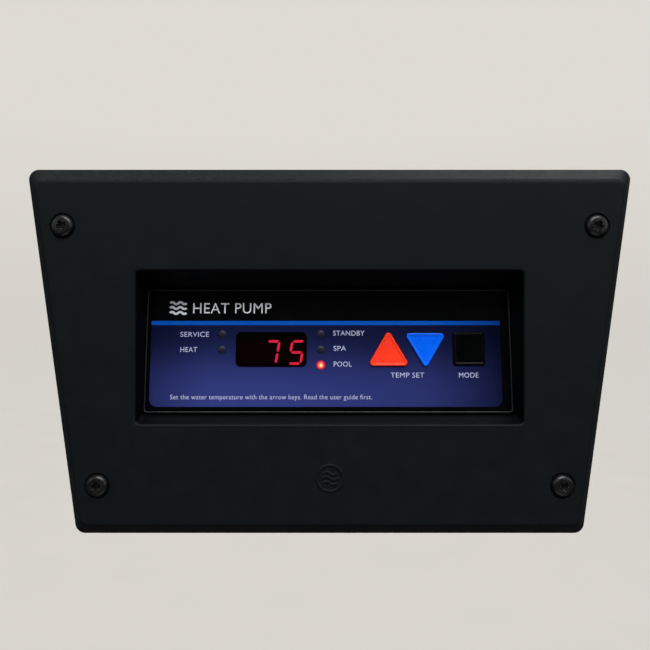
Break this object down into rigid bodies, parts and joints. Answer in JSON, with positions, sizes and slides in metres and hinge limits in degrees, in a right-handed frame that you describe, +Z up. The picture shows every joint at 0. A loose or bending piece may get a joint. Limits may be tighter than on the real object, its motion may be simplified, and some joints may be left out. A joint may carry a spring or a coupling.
{
  "type": "heat pump control panel",
  "caption": "Wall-face control panel of a pool and spa heat pump: tapered black bezel, tilted display with lamps and push keys, and a boxed circuit board behind.",
  "frame": {"origin": "middle of the bezel's rear rim plane, which lies on the cabinet", "axes": "+X to the right and +Z up for a person facing the panel, +Y into the cabinet"},
  "size_m": [0.3006, 0.0483, 0.1816],
  "materials": {
    "bezel_plastic": "moulded black plastic with a fine matt texture",
    "frame_plastic": "moulded black plastic, satin",
    "cover_plastic": "moulded black plastic, satin",
    "gasket_foam": "closed-cell foam, charcoal",
    "black_screw": "black-coated steel, satin",
    "plated_screw": "zinc-plated steel",
    "overlay_film": "printed polycarbonate film: black border, blue field, fine satin face",
    "filter_tint": "smoked red acrylic",
    "key_red": "moulded red keycap, satin",
    "key_blue": "moulded blue keycap, satin",
    "key_black": "moulded black keycap, satin",
    "switch_case": "black switch body",
    "plunger_plastic": "natural acetal",
    "digit_case": "black epoxy display body",
    "bar_dark": "diffused epoxy, unlit",
    "bar_lit": "diffused epoxy, lit red",
    "lamp_dark": "tinted lamp epoxy, unlit",
    "lamp_lit": "tinted lamp epoxy, lit red",
    "spacer_nylon": "natural nylon",
    "board_laminate": "green glass-epoxy laminate",
    "chip_plastic": "black epoxy",
    "crystal_can": "pressed metal can",
    "capacitor_sleeve": "shrink sleeve, dark blue",
    "resistor_body": "tan lacquer",
    "socket_nylon": "natural nylon",
    "pin_metal": "tin-plated brass"
  },
  "bodies": {
    "panel": {"bezel": "bezel_plastic", "board_screws": "plated_screw", "buzzer": "chip_plastic", "cabinet_gasket": "gasket_foam", "capacitors": "capacitor_sleeve", "circuit_board": "board_laminate", "clock_crystal": "crystal_can", "cover_screws": "plated_screw", "display_driver": "chip_plastic", "display_filter": "filter_tint", "display_frame": "frame_plastic", "down_switch": "switch_case", "frame_screws": "plated_screw", "frame_seal": "gasket_foam", "graphic_overlay": "overlay_film", "harness_socket": "socket_nylon", "heat_lamp": "lamp_dark", "hundreds_dark_bars": "bar_dark", "hundreds_digit": "digit_case", "lamp_spacers": "spacer_nylon", "microcontroller": "chip_plastic", "mode_switch": "switch_case", "mounting_screws": "black_screw", "pool_lamp": "lamp_lit", "rear_cover": "cover_plastic", "resistors": "resistor_body", "service_lamp": "lamp_dark", "socket_pins": "pin_metal", "spa_lamp": "lamp_dark", "standby_lamp": "lamp_dark", "tens_dark_bars": "bar_dark", "tens_digit": "digit_case", "tens_lit_bars": "bar_lit", "units_dark_bars": "bar_dark", "units_digit": "digit_case", "units_lit_bars": "bar_lit", "up_switch": "switch_case", "voltage_regulator": "chip_plastic"},
    "up_key": {"up_key": "key_red", "up_plunger": "plunger_plastic"},
    "down_key": {"down_key": "key_blue", "down_plunger": "plunger_plastic"},
    "mode_key": {"mode_key": "key_black", "mode_plunger": "plunger_plastic"}
  },
  "joints": [
    {"name": "up_press", "type": "slide", "parent": "panel", "child": "up_key", "axis": [0, 0.9938, -0.1115], "range_m": [0, 0.0008], "stiffness_N_per_m": 2500},
    {"name": "down_press", "type": "slide", "parent": "panel", "child": "down_key", "axis": [0, 0.9938, -0.1115], "range_m": [0, 0.0008], "stiffness_N_per_m": 2500},
    {"name": "mode_press", "type": "slide", "parent": "panel", "child": "mode_key", "axis": [0, 0.9938, -0.1115], "range_m": [0, 0.0008], "stiffness_N_per_m": 2500}
  ]
}
